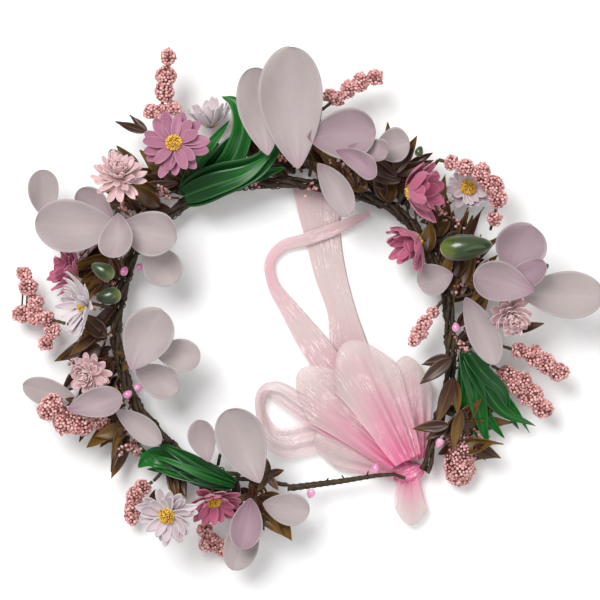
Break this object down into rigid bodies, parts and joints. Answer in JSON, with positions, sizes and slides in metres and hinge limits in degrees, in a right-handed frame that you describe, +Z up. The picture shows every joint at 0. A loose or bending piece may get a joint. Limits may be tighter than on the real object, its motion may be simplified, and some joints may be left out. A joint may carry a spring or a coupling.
{
  "type": "flower crown",
  "caption": "Open wire hoop worn on the head, dressed all round with fabric blooms, berry sprays, leaf picks and pearl buds, with a tied ribbon bow at the open ends.",
  "frame": {"origin": "middle of the head opening, on the surface that the crown lies on", "axes": "+Z up out of the surface, +X to the right and +Y away, with the open ends of the hoop at +X -Y"},
  "size_m": [0.3319, 0.2869, 0.0661],
  "materials": {
    "brown_tape": "waxed paper floral tape, matt",
    "binding_thread": "dark thread",
    "olive_twig": "brown-olive moulded twig",
    "berry_beads": "dusty pink foam beads with a satin skin",
    "frosted_petal": "frosted grey-lilac petal cloth with a pale rim",
    "pink_petal": "mauve-pink satin cloth",
    "white_petal": "white satin cloth with mauve creases",
    "mum_petal": "cream-pink cloth, purple at the base",
    "daisy_eye": "yellow flocked dome",
    "green_leaf": "glossy dark green moulded leaf",
    "brown_leaf": "satin dark brown to olive moulded leaf",
    "green_bud": "glossy green bud",
    "pearl": "pearly lacquer",
    "pink_organza": "sheer pink organza with a sheen"
  },
  "bodies": {
    "root": {"berries_bottom_right": "berry_beads", "berries_inner_right": "berry_beads", "berries_lower_left": "berry_beads", "berries_right_top": "berry_beads", "brown_leaves_bottom": "brown_leaf", "brown_leaves_left": "brown_leaf", "brown_leaves_right": "brown_leaf", "brown_leaves_top_right": "brown_leaf", "daisy_eyes": "daisy_eye", "green_buds": "green_bud", "green_leaf_pick_bottom_left": "green_leaf", "green_leaf_pick_right": "green_leaf", "green_leaf_pick_top": "green_leaf", "hoop_binding_thread": "binding_thread", "hoop_core_wire": "brown_tape", "hoop_outer_strand": "brown_tape", "hoop_top_strand": "brown_tape", "magnolia_inner_bottom_petals": "frosted_petal", "magnolia_inner_left_petals": "frosted_petal", "magnolia_left_petals": "frosted_petal", "magnolia_lower_left_petals": "frosted_petal", "magnolia_outer_bottom_petals": "frosted_petal", "magnolia_right_petals": "frosted_petal", "magnolia_top_petals": "frosted_petal", "mum_lower_left_petals": "mum_petal", "mum_right_petals": "mum_petal", "mum_upper_left_petals": "mum_petal", "pearl_buds": "pearl", "pink_daisy_bottom_petals": "pink_petal", "pink_daisy_inner_right_petals": "pink_petal", "pink_daisy_left_petals": "pink_petal", "pink_daisy_top_left_petals": "pink_petal", "pink_daisy_top_right_petals": "pink_petal", "ribbon_bow_loops": "pink_organza", "ribbon_knot": "pink_organza", "ribbon_short_tail": "pink_organza", "ribbon_side_loop": "pink_organza", "stem_wires": "brown_tape", "white_daisy_bottom_left_petals": "white_petal", "white_daisy_left_petals": "white_petal", "white_daisy_right_petals": "white_petal", "white_daisy_top_left_petals": "white_petal"},
    "berry_spray_top_left": {"berry_twig_top_left": "olive_twig", "berries_top_left": "berry_beads"},
    "berry_spray_top": {"berry_twig_top": "olive_twig", "berries_top": "berry_beads"},
    "berry_spray_right_outer": {"berry_twig_right_outer": "olive_twig", "berries_right_outer": "berry_beads"},
    "berry_spray_right_lower": {"berry_twig_right_lower": "olive_twig", "berries_right_lower": "berry_beads"},
    "berry_spray_left": {"berry_twig_left": "olive_twig", "berries_left": "berry_beads"},
    "berry_spray_bottom_left": {"berry_twig_bottom_left": "olive_twig", "berries_bottom_left": "berry_beads"},
    "berry_spray_bottom": {"berry_twig_bottom": "olive_twig", "berries_bottom": "berry_beads"},
    "bare_arm": {"hoop_bare_arm": "brown_tape", "arm_pearl_bud": "pearl"},
    "bow_tails": {"ribbon_wide_tail": "pink_organza", "ribbon_folded_tail": "pink_organza"}
  },
  "joints": [
    {"name": "bend_top_left_spray", "type": "hinge", "parent": "root", "child": "berry_spray_top_left", "pos_m": [-0.07, 0.112, 0.02], "axis": [0.9923, -0.124, 0], "range_deg": [-5, 25]},
    {"name": "bend_top_spray", "type": "hinge", "parent": "root", "child": "berry_spray_top", "pos_m": [0.02, 0.124, 0.022], "axis": [0.6075, -0.7943, 0], "range_deg": [-3, 25]},
    {"name": "bend_right_outer_spray", "type": "hinge", "parent": "root", "child": "berry_spray_right_outer", "pos_m": [0.118, -0.006, 0.022], "axis": [-0.2873, -0.9578, 0], "range_deg": [-5, 20]},
    {"name": "bend_right_lower_spray", "type": "hinge", "parent": "root", "child": "berry_spray_right_lower", "pos_m": [0.114, -0.017, 0.02], "axis": [-0.5433, -0.8396, 0], "range_deg": [-5, 20]},
    {"name": "bend_left_spray", "type": "hinge", "parent": "root", "child": "berry_spray_left", "pos_m": [-0.122, 0.006, 0.018], "axis": [0.2747, 0.9615, 0], "range_deg": [-4, 25]},
    {"name": "bend_bottom_left_spray", "type": "hinge", "parent": "root", "child": "berry_spray_bottom_left", "pos_m": [-0.074, -0.082, 0.016], "axis": [-0.5145, 0.8575, 0], "range_deg": [0, 25]},
    {"name": "bend_bottom_spray", "type": "hinge", "parent": "root", "child": "berry_spray_bottom", "pos_m": [-0.046, -0.104, 0.013], "axis": [-0.9864, -0.1644, 0], "range_deg": [0, 25]},
    {"name": "spread_hoop_arm", "type": "hinge", "parent": "root", "child": "bare_arm", "pos_m": [0.0035, -0.0851, 0.015], "axis": [0, 0, 1], "range_deg": [-12, 3], "stiffness_Nm_per_rad": 0.05},
    {"name": "swing_bow_tails", "type": "hinge", "parent": "root", "child": "bow_tails", "pos_m": [0.069, -0.078, 0.0058], "axis": [0, 0, 1], "range_deg": [-5, 5]}
  ]
}
